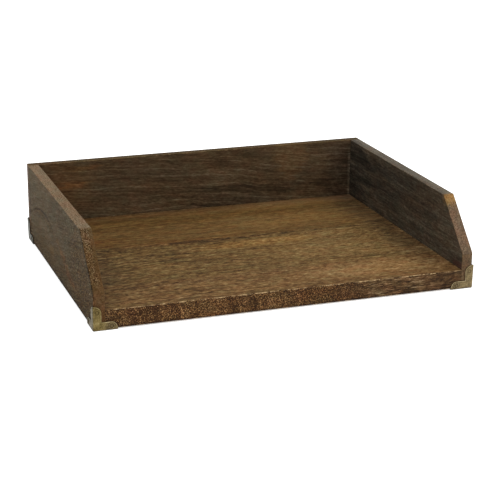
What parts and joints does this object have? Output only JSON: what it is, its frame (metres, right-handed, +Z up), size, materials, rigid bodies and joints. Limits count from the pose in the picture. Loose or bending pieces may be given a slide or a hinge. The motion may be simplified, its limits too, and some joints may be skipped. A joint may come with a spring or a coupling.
{
  "type": "paper tray",
  "caption": "Open-fronted wooden letter tray with raked side boards, full-height back and antique brass corner guards.",
  "frame": {"origin": "centre of the footprint, on the plane that the four corner guards stand on", "axes": "+X to the tray's right, +Y from the open front to the back board, +Z up"},
  "size_m": [0.333, 0.256, 0.0725],
  "materials": {
    "base_rear_wood": "dark stain, satin",
    "base_middle_wood": "dark stain, satin",
    "base_front_wood": "dark stain, satin",
    "back_wood": "dark stain, satin",
    "left_wood": "dark stain, satin",
    "right_wood": "dark stain, satin",
    "antique_brass": "antiqued, satin",
    "tack_brass": "antiqued, satin",
    "brad_steel": "plain"
  },
  "bodies": {
    "root": {"base_stave_rear": "base_rear_wood", "base_stave_middle": "base_middle_wood", "base_stave_front": "base_front_wood", "back_board": "back_wood", "left_side_board": "left_wood", "right_side_board": "right_wood", "guard_front_left": "antique_brass", "guard_front_right": "antique_brass", "guard_rear_left": "antique_brass", "guard_rear_right": "antique_brass", "guard_tacks_front_left": "tack_brass", "guard_tacks_front_right": "tack_brass", "guard_tacks_rear_left": "tack_brass", "guard_tacks_rear_right": "tack_brass", "left_side_brads": "brad_steel", "right_side_brads": "brad_steel", "back_to_base_brads": "brad_steel", "back_to_left_brads": "brad_steel", "back_to_right_brads": "brad_steel"}
  },
  "joints": []
}
